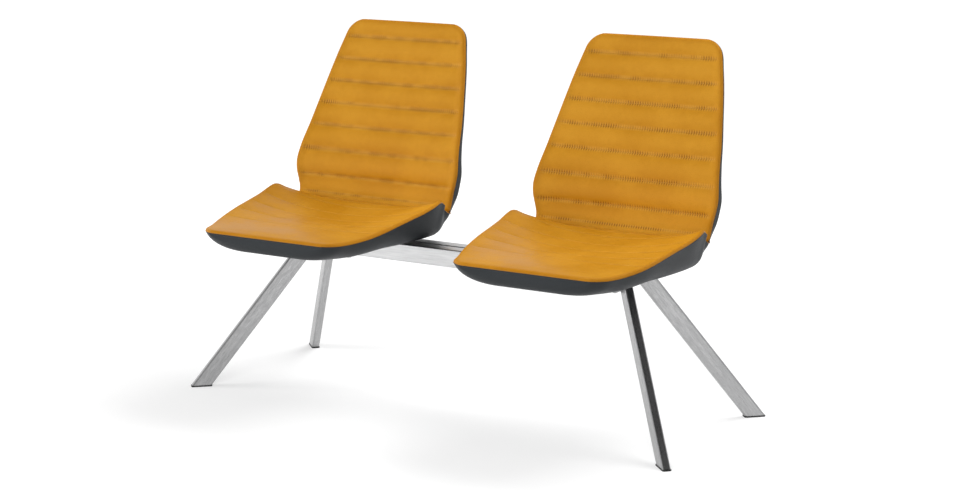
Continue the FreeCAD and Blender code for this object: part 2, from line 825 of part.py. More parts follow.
def glide(side, way):
    """Plastic glide under a leg: a flat sole and a plug inside the tube."""
    foot, axis, broad, narrow = leg_frame(side, way)
    flat = Vector(broad.x, broad.y, 0.0).normalize()
    half_u = leg_broad / 2.0 / abs(axis.z) + glide_margin
    half_v = leg_narrow / 2.0 + glide_margin
    shift = Vector(axis.x, axis.y, 0.0) * (glide_thickness / axis.z)
    sole = rounded_face(foot + shift, flat, narrow, half_u, half_v, leg_corner)
    sole = sole.extrude(Vector(0, 0, glide_thickness))
    return sole.fuse(slanted_bar(side, way, leg_wall + fit, glide_thickness, glide_thickness + glide_plug))


def main():
    nodes = {}
    shell = seat_shell()
    board = drilled_board()
    seat_pad = seat_cushion()
    back_pad = back_cushion()
    plate = seat_plate()
    groups = {name: [] for name in (
        "seat_bolts", "tee_nuts", "spacer_sleeves", "back_pegs", "plate_screws", "slot_nuts", "leg_screws"
    )}
    for name, centre in zip(sides, seat_centres):
        shift = Vector(centre, 0, 0)
        nodes[name + "_outer_shell"] = shell.translated(shift)
        nodes[name + "_inner_board"] = board.translated(shift)
        nodes[name + "_seat_pad"] = seat_pad.translated(shift)
        nodes[name + "_back_pad"] = back_pad.translated(shift)
        nodes[name + "_seat_plate"] = plate.translated(shift)
        for x, y in seat_bolt_points():
            groups["seat_bolts"].append(seat_bolt(x, y).translated(shift))
            groups["tee_nuts"].append(tee_nut(x, y).translated(shift))
            groups["spacer_sleeves"].append(spacer_sleeve(x, y, shell).translated(shift))
        for x, s in peg_points():
            groups["back_pegs"].append(back_peg(x, s).translated(shift))
        for x in (centre - slot_screw_x, centre + slot_screw_x):
            groups["plate_screws"].append(plate_screw(x))
            groups["slot_nuts"].append(slot_nut(x, 0.0, beam_top, -1))
    nodes["beam_profile"] = beam_profile()
    for name, side in zip(sides, (-1, 1)):
        nodes[name + "_leg_bracket"] = leg_bracket(side)
        for x, y in leg_screw_points(side):
            groups["leg_screws"].append(leg_screw(x, y))
            groups["slot_nuts"].append(slot_nut(x, y, beam_bottom, 1))
        for row, way in (("front", -1), ("rear", 1)):
            nodes[name + "_" + row + "_leg"] = leg_tube(side, way)
            nodes[name + "_" + row + "_glide"] = glide(side, way)
    for name, shapes in groups.items():
        nodes[name] = Part.makeCompound(shapes)
    box = FreeCAD.BoundBox()
    for shape in nodes.values():
        box.add(shape.optimalBoundingBox(False, False))
    to_origin = Vector(0, -(box.YMin + box.YMax) / 2.0, 0)
    print("beam middle at Y = %.3f" % to_origin.y)
    for name, shape in nodes.items():
        shape.translate(to_origin)
        print(name, len(shape.Solids), shape.isValid(), round(shape.Volume))
        shape.exportStep("parts/%s.step" % name)


main()
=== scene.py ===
# %% [markdown]
# Beam seating: two upholstered seats on one aluminium beam, held up by four splayed legs of
# flat tube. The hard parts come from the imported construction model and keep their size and
# place. This script gives them their finishes, builds the leather cushions as soft forms,
# adds the stitching, and sets up a pale studio with the camera at the photograph's angle.

# %% Tools and the fixed frame
import json
import math

import bmesh
import bpy
from mathutils import Matrix, Vector


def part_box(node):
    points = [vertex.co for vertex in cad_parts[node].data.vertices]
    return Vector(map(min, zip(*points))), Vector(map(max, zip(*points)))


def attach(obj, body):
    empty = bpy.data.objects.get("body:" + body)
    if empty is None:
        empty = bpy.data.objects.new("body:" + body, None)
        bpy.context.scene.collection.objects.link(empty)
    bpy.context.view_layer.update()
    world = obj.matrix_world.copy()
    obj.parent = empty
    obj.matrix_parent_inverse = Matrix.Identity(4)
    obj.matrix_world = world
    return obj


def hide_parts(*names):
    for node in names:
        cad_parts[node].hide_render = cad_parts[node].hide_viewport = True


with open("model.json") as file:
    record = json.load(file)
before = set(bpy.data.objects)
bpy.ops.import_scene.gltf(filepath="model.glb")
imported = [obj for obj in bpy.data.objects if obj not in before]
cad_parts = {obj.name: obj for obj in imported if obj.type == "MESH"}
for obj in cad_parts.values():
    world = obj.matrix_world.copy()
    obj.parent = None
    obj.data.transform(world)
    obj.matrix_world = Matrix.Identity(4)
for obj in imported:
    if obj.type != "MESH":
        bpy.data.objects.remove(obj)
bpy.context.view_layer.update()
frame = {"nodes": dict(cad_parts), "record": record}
NODES = frame["nodes"]
SIDES = ("left", "right")
print("construction nodes:", len(NODES))

# %% [markdown]
# The seat is one bent line seen from the side: a level base, a rear bend, a short lumbar
# stretch and a leaning back. Every cushion point is given by three numbers: how far across
# the seat it lies, how far along that line, and how far in from the shell's outer face. The
# same three numbers were used to construct the hard shell, so the leather fits it.

# %% Side profile of the seat, in millimetres
SEAT_CENTRES = (-355.0, 355.0)
BASE_LEVEL = 386.0
BEND_START = 52.0
BEND_RADIUS = 100.0
BEND_ANGLE = math.radians(84.0)
LUMBAR_LENGTH = 30.0
LEAN_RADIUS = 340.0
BACK_ANGLE = math.radians(67.0)
BACK_LENGTH = 300.0
BEND_LENGTH = BEND_RADIUS * BEND_ANGLE
LEAN_START = BEND_LENGTH + LUMBAR_LENGTH
BACK_START = LEAN_START + LEAN_RADIUS * (BEND_ANGLE - BACK_ANGLE)
PATH_END = BACK_START + BACK_LENGTH
FRONT = -352.0 - BEND_START
CREASE = BEND_RADIUS * math.radians(47.0)
BEAM_Y = sum(c[1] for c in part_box("beam_profile")) * 500.0
print("beam middle at Y = %.3f mm, profile length %.0f mm" % (BEAM_Y, PATH_END - FRONT))


def profile_point(s):
    """Y, Z and rise angle of the shell's outer middle line at the length s past the bend's start."""
    if s <= 0.0:
        return BEND_START + s, BASE_LEVEL, 0.0
    if s <= BEND_LENGTH:
        turn = s / BEND_RADIUS
        y = BEND_START + BEND_RADIUS * math.sin(turn)
        return y, BASE_LEVEL + BEND_RADIUS * (1.0 - math.cos(turn)), turn
    y, z, turn = profile_point(BEND_LENGTH)
    if s <= LEAN_START:
        run = s - BEND_LENGTH
        return y + run * math.cos(turn), z + run * math.sin(turn), turn
    y += LUMBAR_LENGTH * math.cos(turn)
    z += LUMBAR_LENGTH * math.sin(turn)
    angle = BEND_ANGLE - (min(s, BACK_START) - LEAN_START) / LEAN_RADIUS
    y += LEAN_RADIUS * (math.sin(BEND_ANGLE) - math.sin(angle))
    z += LEAN_RADIUS * (math.cos(angle) - math.cos(BEND_ANGLE))
    run = max(s - BACK_START, 0.0)
    return y + run * math.cos(angle), z + run * math.sin(angle), angle


def place(centre, x, n, s):
    """Point in metres at x across, n inwards and s along the profile of one seat."""
    y, z, turn = profile_point(s)
    return Vector((centre + x, BEAM_Y + y - n * math.sin(turn), z + n * math.cos(turn))) * 0.001


# %% [markdown]
# The width and the height of the edge change along the profile: the seat widens towards the
# rear, its sides rise into wings beside the hips, and a notch parts each wing from the back.
# A few listed pairs with a smooth line between them describe each of these.

# %% Widths and levels along the profile
SEAT_HALF = (
    (-397.0, 192.0), (-345.0, 209.0), (-295.0, 226.0), (-245.0, 237.0), (-195.0, 243.5),
    (-145.0, 248.0), (-95.0, 253.0), (-45.0, 257.0), (0.0, 250.0), (45.0, 237.0), (82.0, 234.5),
)
SEAT_EDGE = (
    (-397.0, 38.5), (-345.0, 38.5), (-295.0, 43.5), (-245.0, 51.5), (-195.0, 60.5),
    (-145.0, 68.5), (-95.0, 76.5), (-55.0, 86.0), (-31.0, 92.0), (-17.0, 90.5), (0.0, 82.0),
    (24.0, 77.5), (37.0, 72.0), (49.0, 64.5), (60.0, 54.5), (70.0, 42.5), (82.0, 35.0),
)
SEAT_CROWN = (
    (-397.0, 46.0), (-365.0, 50.5), (-315.0, 51.0), (-245.0, 48.0), (-145.0, 46.0),
    (-45.0, 52.0), (0.0, 60.0), (30.0, 60.0), (60.0, 53.0), (82.0, 46.0),
)
BACK_HALF = (
    (70.0, 234.0), (105.0, 233.5), (147.0, 237.5), (177.0, 244.5), (200.0, 247.0),
    (227.0, 243.0), (277.0, 233.5), (317.0, 227.5), (372.0, 218.0), (427.0, 208.0),
    (481.0, 197.0), (540.0, 182.5), (582.0, 172.0),
)
BACK_EDGE = (
    (70.0, 33.0), (84.0, 35.0), (105.0, 38.0), (122.0, 40.0), (147.0, 42.5), (177.0, 45.0),
    (227.0, 40.5), (277.0, 33.5), (317.0, 30.5), (372.0, 29.0), (427.0, 28.0), (481.0, 27.5),
    (582.0, 27.0),
)
BACK_CROWN = (
    (82.0, 38.0), (115.0, 35.0), (147.0, 33.5), (200.0, 33.0), (300.0, 31.0), (400.0, 30.5),
    (480.0, 31.0), (540.0, 33.5), (582.0, 36.0),
)


def along(table, t):
    """Value at t on a smooth line through the table's pairs, level beyond its ends."""
    if t <= table[0][0]:
        return table[0][1]
    if t >= table[-1][0]:
        return table[-1][1]
    index = max(i for i in range(len(table) - 1) if table[i][0] <= t)
    slopes = []
    for i in (index, index + 1):
        low = table[max(i - 1, 0)]
        high = table[min(i + 1, len(table) - 1)]
        slopes.append((high[1] - low[1]) / (high[0] - low[0]))
    step = table[index + 1][0] - table[index][0]
    u = (t - table[index][0]) / step
    start = (2 * u**3 - 3 * u**2 + 1) * table[index][1] + (u**3 - 2 * u**2 + u) * step * slopes[0]
    end = (3 * u**2 - 2 * u**3) * table[index + 1][1] + (u**3 - u**2) * step * slopes[1]
    return start + end


print("widest point of the seat:", 2 * max(half for s, half in SEAT_HALF), "mm")

# %% [markdown]
# A cushion's top is a crowned sheet. Its middle follows the crown, its sides rise to the
# edge, and the last few millimetres roll over like leather pulled round foam. Sewn rows, one
# every sixty millimetres, draw the sheet in. Here the sheet is made as the thread leaves it,
# drawn in everywhere by the depth of a row. The swelling between the rows comes later.

# %% Shape of the drawn-in leather
CORNER_RADIUS = {"seat": 36.0, "back": 38.0}
PITCH = 60.3
BACK_ROWS = [PATH_END - 48.0 - i * PITCH for i in range(7)]
SEAT_ROWS = [CREASE - 42.0 - i * PITCH for i in range(6)]
ROW_DEPTH = {"seat": 1.8, "back": 5.0}
SEAT_CALM = 0.35
PAD_EDGE = 7.0
ROLL = 9.0
LIP_GAP = 0.4
CREASE_GAP = 0.7
CREASE_ROLL = 14.0
ROW_EASE = 24.0


def pad_form(kind):
    """Start, end, half-width table, edge table, crown table and rows of one cushion."""
    if kind == "seat":
        return FRONT, CREASE - CREASE_GAP, SEAT_HALF, SEAT_EDGE, SEAT_CROWN, SEAT_ROWS
    return CREASE + CREASE_GAP, PATH_END, BACK_HALF, BACK_EDGE, BACK_CROWN, BACK_ROWS


def free_end_distance(kind, s):
    """Distance from the cushion's rounded end: the seat's front or the back's top."""
    start, end = pad_form(kind)[:2]
    return s - start if kind == "seat" else end - s


def pad_half(kind, s):
    """Half-width of a cushion at s, with its two rounded corners."""
    half = along(pad_form(kind)[2], s) - 0.5
    radius = CORNER_RADIUS[kind]
    short = max(radius - free_end_distance(kind, s), 0.0)
    return half - radius + math.sqrt(max(radius**2 - short**2, 0.0))


def edge_distance(kind, x, s):
    """Distance in from the cushion's outline, without the crease side."""
    radius = CORNER_RADIUS[kind]
    side = along(pad_form(kind)[2], s) - 0.5 - abs(x)
    end = free_end_distance(kind, s)
    if side < radius and end < radius:
        return radius - math.hypot(radius - side, radius - end)
    return min(side, end)


def crown_level(kind, x, s):
    """Level of the smooth crown at x and s: an arc from edge to edge."""
    half_table, edge_table, crown_table = pad_form(kind)[2:5]
    top = along(edge_table, s) + PAD_EDGE
    share = min(abs(x) / along(half_table, s), 1.0)
    return along(crown_table, s) + (top - along(crown_table, s)) * share**2


def roll_drop(d, radius, depth):
    """How far the rolled edge lies below the crown at the distance d from the outline."""
    if d >= radius:
        return 0.0
    share = 1.0 - max(d, 0.0) / radius
    return depth * (1.0 - math.sqrt(1.0 - share**2))


def row_reach(kind, x, s):
    """How strongly the rows draw the leather in: fully inside, not at all at the outline."""
    reach = min(max(edge_distance(kind, x, s) - 4.0, 0.0) / ROW_EASE, 1.0)
    if kind == "seat":
        past = (SEAT_ROWS[-1] - s) / (0.6 * PITCH)
        reach *= 1.0 - min(max(past, 0.0), 1.0)
        flank = min(max((abs(x) - 60.0) / 110.0, 0.0), 1.0)
        reach *= SEAT_CALM + (1.0 - SEAT_CALM) * flank
    return reach * reach * (3.0 - 2.0 * reach)


def drawn_level(kind, x, s):
    """Level of the leather as if one sewn row covered all of it."""
    level = crown_level(kind, x, s) - ROW_DEPTH[kind] * row_reach(kind, x, s)
    level -= roll_drop(edge_distance(kind, x, s), ROLL, PAD_EDGE - 1.2)
    crease = min(abs(s - CREASE) - CREASE_GAP, CREASE_ROLL)
    return level - roll_drop(crease, CREASE_ROLL, 9.0)


print("back rows:", len(BACK_ROWS), "seat rows:", len(SEAT_ROWS))

# %% [markdown]
# The mesh starts as a flat grid with the grid operator. Its lines are not evenly spaced:
# one lies on every sewn row, they crowd together beside the rows and at the edges, where the
# leather turns quickly, and they spread out on the calm swells.

# %% Grid lines of a cushion
COLUMNS = 96
EDGE_DENSITY = 0.55
ROW_STEPS = 14


def eased(steps):
    """Shares from 0 to 1 that crowd at both ends."""
    return [0.5 - 0.5 * math.cos(math.pi * i / steps) for i in range(steps + 1)]


def grid_lines(kind):
    """All grid lines along the profile, and which of them carry a sewn row."""
    start, end = pad_form(kind)[:2]
    rows = sorted(pad_form(kind)[5])
    stops = [start] + rows + [end]
    lines = [start]
    sewn = []
    for low, high in zip(stops, stops[1:]):
        steps = max(int(round((high - low) / PITCH * ROW_STEPS)), 10)
        lines += [low + (high - low) * share for share in eased(steps)[1:]]
        sewn.append(len(lines) - 1)
    return lines, sewn[:-1]


LINES = {kind: grid_lines(kind) for kind in ("seat", "back")}
print("grid lines:", {kind: len(LINES[kind][0]) for kind in LINES})

# %% [markdown]
# The grid's flat points move to their places on the seat. A second sheet under the first and
# a bridge between the two close the body, because a cushion is a filled form, not a skin.
# Three numbers are stored on every point for later: across, along and how firmly the
# stitching and the shell hold it.

# %% Closed cushion blank
SEAT_BOARD = 24.0
BACK_BOARD = 13.0
UNDER_INSET = 6.0
UNDER_SLOPE = 11.0


def underside_level(kind, x, s):
    """Level of the cushion's underside: on the shell's edge, and on the board inside it."""
    edge = along(pad_form(kind)[3], s) + LIP_GAP
    half = along(pad_form(kind)[2], s) - 9.0
    share_base = min(max(s / BEND_LENGTH, 0.0), 1.0)
    board = SEAT_BOARD + (BACK_BOARD - SEAT_BOARD) * share_base + LIP_GAP
    inward = min(max((free_end_distance(kind, s) - UNDER_INSET) / UNDER_SLOPE, 0.0), 1.0)
    middle = edge + (board - edge) * inward
    share = min(abs(x) / half, 1.0)
    return middle + (edge - middle) * share**2


def cushion_blank(kind, name):
    """Closed blank of a cushion around X = 0, and the points of each sewn row."""
    lines, sewn = LINES[kind]
    bm = bmesh.new()
    bmesh.ops.create_grid(bm, x_segments=COLUMNS, y_segments=len(lines) - 1, size=1.0)
    layers = {n: bm.verts.layers.float.new(n) for n in ("across", "along", "held", "rim")}
    rows = [[] for line in sewn]
    for v in bm.verts:
        line = int(round((v.co.y + 1.0) / 2.0 * (len(lines) - 1)))
        s = lines[line]
        u = v.co.x + EDGE_DENSITY * math.sin(math.pi * v.co.x) / math.pi
        x = pad_half(kind, s) * u
        v[layers["across"]] = x
        v[layers["along"]] = s
        reach = row_reach(kind, x, s)
        at_end = line in (0, len(lines) - 1)
        v[layers["held"]] = 1.0 if line in sewn or at_end else 1.0 - min(reach * 3.0, 1.0)
        v[layers["rim"]] = edge_distance(kind, x, s)
        if line in sewn:
            rows[sewn.index(line)].append(v)
    copied = bmesh.ops.duplicate(bm, geom=bm.verts[:] + bm.edges[:] + bm.faces[:])
    under = {g for g in copied["geom"] if isinstance(g, bmesh.types.BMVert)}
    bmesh.ops.reverse_faces(bm, faces=[g for g in copied["geom"] if isinstance(g, bmesh.types.BMFace)])
    for v in bm.verts:
        level = underside_level if v in under else drawn_level
        v.co = place(0.0, v[layers["across"]], level(kind, v[layers["across"]], v[layers["along"]]),
                     v[layers["along"]])
        if v in under:
            v[layers["held"]] = 1.0
            v[layers["rim"]] = -1.0
    bmesh.ops.bridge_loops(bm, edges=[e for e in bm.edges if e.is_boundary])
    bmesh.ops.recalc_face_normals(bm, faces=bm.faces)
    bm.verts.index_update()
    mesh = bpy.data.meshes.new(name)
    bm.to_mesh(mesh)
    row_points = [[v.index for v in sorted(row, key=lambda v: v.co.x)] for row in rows]
    bm.free()
    return mesh, row_points


# %% [markdown]
# Real padding swells because the foam presses the leather out wherever no thread holds it.
# Blender's cloth can do just that: the rows, the rim and the underside are pinned, pressure
# pushes the rest out, and the movement is capped by the depth that the thread has pulled in.
# Pressed out freely, the sheet wrinkles like a pillow. This leather is stretched over firm
# foam, so most of the swelling is a plain rounded arch, and the cloth adds its unevenness.
# The result is written back to the mesh, so that no simulation is left on the piece.

# %% Swelling between the rows
PRESSURE = 4.0
FRAMES = 20
STRETCH = 12.0
CAP_MARGIN = 0.4
UNEVEN = {"seat": 0.20, "back": 0.16}


def level_swell(kind, across, s):
    """The plain part of the swelling: an arch between two rows."""
    gap = min(abs(s - row) for row in pad_form(kind)[5])
    share = max(1.0 - 2.0 * gap / PITCH, 0.0)
    return ROW_DEPTH[kind] * (1.0 - share**2) * row_reach(kind, across, s)


def simulated_points(mesh):
    """Where the pressed-out leather comes to rest, point by point."""
    piece = bpy.data.objects.new("swelling", mesh)
    bpy.context.scene.collection.objects.link(piece)
    pins = piece.vertex_groups.new(name="held")
    for index, held in enumerate(mesh.attributes["held"].data):
        pins.add([index], held.value, "REPLACE")
    cloth = piece.modifiers.new("swelling", "CLOTH")
    cloth.settings.quality = 5
    cloth.settings.vertex_group_mass = "held"
    cloth.settings.tension_stiffness = STRETCH
    cloth.settings.compression_stiffness = STRETCH
    cloth.settings.bending_stiffness = 0.6
    cloth.settings.use_pressure = True
    cloth.settings.uniform_pressure_force = PRESSURE
    cloth.settings.effector_weights.gravity = 0.0
    cloth.collision_settings.use_collision = False
    for number in range(1, FRAMES + 1):
        bpy.context.scene.frame_set(number)
    result = piece.evaluated_get(bpy.context.evaluated_depsgraph_get())
    points = [v.co.copy() for v in result.to_mesh().vertices]
    result.to_mesh_clear()
    bpy.data.objects.remove(piece)
    bpy.context.scene.frame_set(1)
    return points


def swell(kind, mesh):
    """Move every free point out: by the arch, and by a share of the simulated movement."""
    points = simulated_points(mesh)
    reach = 0.0
    normals = [v.normal.copy() for v in mesh.vertices]
    layers = [mesh.attributes[n].data for n in ("across", "along", "held", "rim")]
    for v, across, s, held, rim in zip(mesh.vertices, *layers):
        if rim.value < 0.0:
            continue
        arch = normals[v.index] * level_swell(kind, across.value, s.value) * 0.001
        if points is None:
            v.co += arch
            continue
        move = points[v.index] - v.co
        reach = max(reach, move.length)
        cap = (ROW_DEPTH[kind] + CAP_MARGIN) * 0.001
        if move.length > 0.0:
            move = move.normalized() * cap * (1.0 - math.exp(-move.length / cap))
        v.co += arch * (1.0 - UNEVEN[kind]) + move * UNEVEN[kind]
    print(kind, "leather pressed out by up to %.1f mm before the cap" % (reach * 1000.0))


# %% [markdown]
# Thread makes a narrow furrow that no simulation of this coarseness keeps, so it comes last:
# the points beside each row sink by less than a millimetre. A map of the surface is stored
# too, counted in stitches across and in rows along, for the puckers in the leather's finish.
# The seat is sewn far more loosely than the back, so its rows are fainter in both.

# %% Furrows under the thread and the surface map
STITCH = 6.5
FURROW = {"seat": 0.15, "back": 0.8}
FURROW_WIDTH = 2.4
SEAM_STRENGTH = {"seat": 0.25, "back": 1.0}


def sew(kind, mesh):
    """Sink the furrows, and store the map of stitches and rows."""
    first_row = pad_form(kind)[5][0]
    mesh.update()
    normals = [v.normal.copy() for v in mesh.vertices]
    layers = [[d.value for d in mesh.attributes[n].data] for n in ("across", "along", "rim")]
    reach = [
        row_reach(kind, across, s) if rim >= 0.0 else 0.0 for across, s, rim in zip(*layers)
    ]
    for v, s, strength in zip(mesh.vertices, layers[1], reach):
        gap = min(abs(s - row) for row in pad_form(kind)[5])
        sink = FURROW[kind] * math.exp(-((gap / FURROW_WIDTH) ** 2))
        v.co -= normals[v.index] * sink * strength * 0.001
    uv = mesh.uv_layers.new(name="surface")
    for loop in mesh.loops:
        across = layers[0][loop.vertex_index]
        s = layers[1][loop.vertex_index]
        uv.data[loop.index].uv = (across / STITCH, (s - first_row) / PITCH)
    sewn = mesh.attributes.new("sewn", "FLOAT", "POINT")
    for index, strength in enumerate(reach):
        sewn.data[index].value = strength * SEAM_STRENGTH[kind]
    for polygon in mesh.polygons:
        polygon.use_smooth = True


# %% Cushions of both seats
cushions = {}
row_lines = {}
for kind in ("seat", "back"):
    master, row_points = cushion_blank(kind, kind + "_leather")
    swell(kind, master)
    sew(kind, master)
    points = [[master.vertices[i].co.copy() for i in row] for row in row_points]
    normals = [[master.vertices[i].normal.copy() for i in row] for row in row_points]
    row_lines[kind] = list(zip(points, normals))
    for side, centre in zip(SIDES, SEAT_CENTRES):
        name = "%s_%s_cushion" % (side, kind)
        mesh = master.copy()
        mesh.transform(Matrix.Translation((centre * 0.001, 0.0, 0.0)))
        piece = bpy.data.objects.new(name, mesh)
        bpy.context.scene.collection.objects.link(piece)
        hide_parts("%s_%s_pad" % (side, kind))
        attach(piece, "root")
        cushions[name] = piece
    bpy.data.meshes.remove(master)
print("cushions:", {n: len(p.data.polygons) for n, p in cushions.items()})

# %% [markdown]
# The thread shows as short tonal stitches that dip into the leather at both ends. Each one is
# a small bead from the icosphere operator, stretched along its row and turned to the surface,
# with few faces, because there are well over a thousand of them. All stitches of one cushion
# are one piece.

# %% Stitches
STITCH_LENGTH = 4.6
THREAD = 1.1
STITCH_RISE = 0.20
ROW_END = 12.0


def row_walk(points, normals):
    """Places along one row, a stitch apart, each with the row's direction and normal."""
    places = []
    run = 0.0
    wanted = ROW_END * 0.001
    total = sum((b - a).length for a, b in zip(points, points[1:]))
    for i in range(len(points) - 1):
        step = (points[i + 1] - points[i]).length
        while wanted <= run + step and wanted <= total - ROW_END * 0.001:
            share = (wanted - run) / step
            spot = points[i].lerp(points[i + 1], share)
            places.append((spot, (points[i + 1] - points[i]).normalized(), normals[i]))
            wanted += STITCH * 0.001
        run += step
    return places


def stitching(kind, centre, name):
    """All stitches of one cushion as one piece."""
    bm = bmesh.new()
    count = 0
    for points, normals in row_lines[kind]:
        for spot, run, normal in row_walk(points, normals):
            side = normal.cross(run).normalized()
            up = run.cross(side)
            turn = Matrix((run, side, up)).transposed().to_4x4()
            size = Matrix.Diagonal((STITCH_LENGTH / 2, THREAD / 2, THREAD / 2, 1000.0)) * 0.001
            spot = spot + up * STITCH_RISE * 0.001 + Vector((centre * 0.001, 0.0, 0.0))
            bmesh.ops.create_icosphere(
                bm, subdivisions=1, radius=1.0, matrix=Matrix.Translation(spot) @ turn @ size
            )
            count += 1
    mesh = bpy.data.meshes.new(name)
    bm.to_mesh(mesh)
    bm.free()
    for polygon in mesh.polygons:
        polygon.use_smooth = True
    piece = bpy.data.objects.new(name, mesh)
    bpy.context.scene.collection.objects.link(piece)
    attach(piece, "root")
    print(name, count, "stitches,", len(mesh.polygons), "faces")
    return piece


threads = [
    stitching(kind, centre, "%s_%s_stitching" % (side, kind))
    for side, centre in zip(SIDES, SEAT_CENTRES)
    for kind in ("seat", "back")
]

# %% [markdown]
# Finishes are shader nodes. A few small helpers add a node and link it, so that each finish
# below reads as a short list of what the surface does.

# %% Node helpers


def add(tree, kind, inputs=None, **settings):
    """Add one node: its inputs get a link or a fixed value, the settings are its options."""
    made = tree.nodes.new("ShaderNode" + kind)
    for key, value in settings.items():
        setattr(made, key, value)
    for key, value in (inputs or {}).items():
        if isinstance(value, bpy.types.NodeSocket):
            tree.links.new(value, made.inputs[key])
        else:
            made.inputs[key].default_value = value
    return made


def calc(tree, operation, *values):
    """One sum on numbers, such as MULTIPLY or SINE."""
    return add(tree, "Math", dict(enumerate(values)), operation=operation).outputs[0]


def span(tree, value, low, high, to_low, to_high):
    """Turn the range low to high into another one, with soft ends."""
    inputs = {"Value": value, "From Min": low, "From Max": high, "To Min": to_low, "To Max": to_high}
    return add(tree, "MapRange", inputs, interpolation_type="SMOOTHSTEP").outputs["Result"]


def blend(tree, share, first, second):
    """Mix two colours."""
    inputs = {0: share}
    for index, colour in ((6, first), (7, second)):
        inputs[index] = colour if isinstance(colour, bpy.types.NodeSocket) else (*colour, 1.0)
    return add(tree, "Mix", inputs, data_type="RGBA").outputs[2]


def noise(tree, vector, scale, detail=3.0, roughness=0.5):
    inputs = {"Vector": vector, "Scale": scale, "Detail": detail, "Roughness": roughness}
    return add(tree, "TexNoise", inputs).outputs["Fac"]


def start_finish(name):
    """A new material, its node tree and its shader."""
    material = bpy.data.materials.new(name)
    material.use_nodes = True
    return material, material.node_tree, material.node_tree.nodes["Principled BSDF"]


def start_group(name, inputs, outputs):
    """A new node group with named inputs and outputs."""
    tree = bpy.data.node_groups.new(name, "ShaderNodeTree")
    for label, kind, value in inputs:
        socket = tree.interface.new_socket(label, in_out="INPUT", socket_type="NodeSocket" + kind)
        if value is not None:
            socket.default_value = value
    for label, kind in outputs:
        tree.interface.new_socket(label, in_out="OUTPUT", socket_type="NodeSocket" + kind)
    source = tree.nodes.new("NodeGroupInput").outputs
    result = tree.nodes.new("NodeGroupOutput").inputs
    return tree, source, result


def use_group(tree, group, **inputs):
    """Place a group in a material with its own values."""
    made = tree.nodes.new("ShaderNodeGroup")
    made.node_tree = group
    for key, value in inputs.items():
        if isinstance(value, bpy.types.NodeSocket):
            tree.links.new(value, made.inputs[key])
        else:
            made.inputs[key].default_value = value
    return made.outputs


def object_place(tree):
    return tree.nodes.new("ShaderNodeTexCoord").outputs["Object"]


def bumped(tree, shader, height, strength=1.0):
    """Let a height in metres shape the surface."""
    made = add(tree, "Bump", {"Height": height, "Distance": 1.0, "Strength": strength})
    tree.links.new(made.outputs["Normal"], shader.inputs["Normal"])


print("helpers ready")

# %% [markdown]
# Nothing is of one even colour: plastic, leather and metal all drift a little in tone. Two
# layers of noise, a broad one and a fine one, give that drift to every finish from one group.

# %% Shared group: cloudy drift in tone
drift_group, source, result = start_group(
    "cloudy drift",
    [("Vector", "Vector", None), ("Broad", "Float", 8.0), ("Fine", "Float", 90.0)],
    [("Mask", "Float")],
)
broad = noise(drift_group, source["Vector"], source["Broad"], 2.0)
fine = noise(drift_group, source["Vector"], source["Fine"], 4.0, 0.6)
mixed = calc(drift_group, "MULTIPLY_ADD", fine, 0.35, calc(drift_group, "MULTIPLY", broad, 0.65))
drift_group.links.new(span(drift_group, mixed, 0.34, 0.66, 0.0, 1.0), result["Mask"])
print("group:", drift_group.name)

# %% [markdown]
# Leather has small pebbles with creases between them, and moulded plastic has a similar but
# much finer spark-eroded grain. Voronoi cells make both: the distance to the nearest cell
# centre is a rounded bump, and its size and depth are inputs.

# %% Shared group: pebbled grain
grain_group, source, result = start_group(
    "pebbled grain",
    [("Vector", "Vector", None), ("Size", "Float", 700.0), ("Depth", "Float", 0.00008)],
    [("Height", "Float"), ("Creases", "Float")],
)
warp = add(grain_group, "TexNoise", {"Vector": source["Vector"], "Scale": 180.0, "Detail": 2.0})
moved = add(
    grain_group, "VectorMath",
    {0: warp.outputs["Color"], 1: (0.0012, 0.0012, 0.0012), 2: source["Vector"]},
    operation="MULTIPLY_ADD",
)
cells = add(
    grain_group, "TexVoronoi", {"Vector": moved.outputs[0], "Scale": source["Size"]},
    feature="SMOOTH_F1",
)
rounded = calc(grain_group, "SUBTRACT", 1.0, cells.outputs["Distance"])
grain_group.links.new(calc(grain_group, "MULTIPLY", rounded, source["Depth"]), result["Height"])
creases = span(grain_group, cells.outputs["Distance"], 0.45, 0.8, 0.0, 1.0)
grain_group.links.new(creases, result["Creases"])
print("group:", grain_group.name)

# %% [markdown]
# Brushed and extruded metal carries fine streaks along one direction. Squashing the place
# along that direction, before a fine noise reads it, stretches the noise into streaks. The
# direction is an input, because each leg leans its own way.

# %% Shared group: streaks along a direction
streak_group, source, result = start_group(
    "drawn streaks",
    [("Vector", "Vector", None), ("Direction", "Vector", (1.0, 0.0, 0.0)), ("Fineness", "Float", 900.0)],
    [("Mask", "Float"), ("Broad", "Float")],
)
run = add(
    streak_group, "VectorMath", {0: source["Vector"], 1: source["Direction"]}, operation="DOT_PRODUCT"
).outputs["Value"]
pull = add(
    streak_group, "VectorMath",
    {0: source["Direction"], "Scale": calc(streak_group, "MULTIPLY", run, -0.975)}, operation="SCALE",
).outputs[0]
squashed = add(streak_group, "VectorMath", {0: source["Vector"], 1: pull}, operation="ADD").outputs[0]
thin = noise(streak_group, squashed, source["Fineness"], 3.0, 0.6)
wide = noise(streak_group, squashed, calc(streak_group, "MULTIPLY", source["Fineness"], 0.12), 2.0)
streak_group.links.new(span(streak_group, thin, 0.3, 0.7, 0.0, 1.0), result["Mask"])
streak_group.links.new(span(streak_group, wide, 0.35, 0.65, 0.0, 1.0), result["Broad"])
print("group:", streak_group.name)
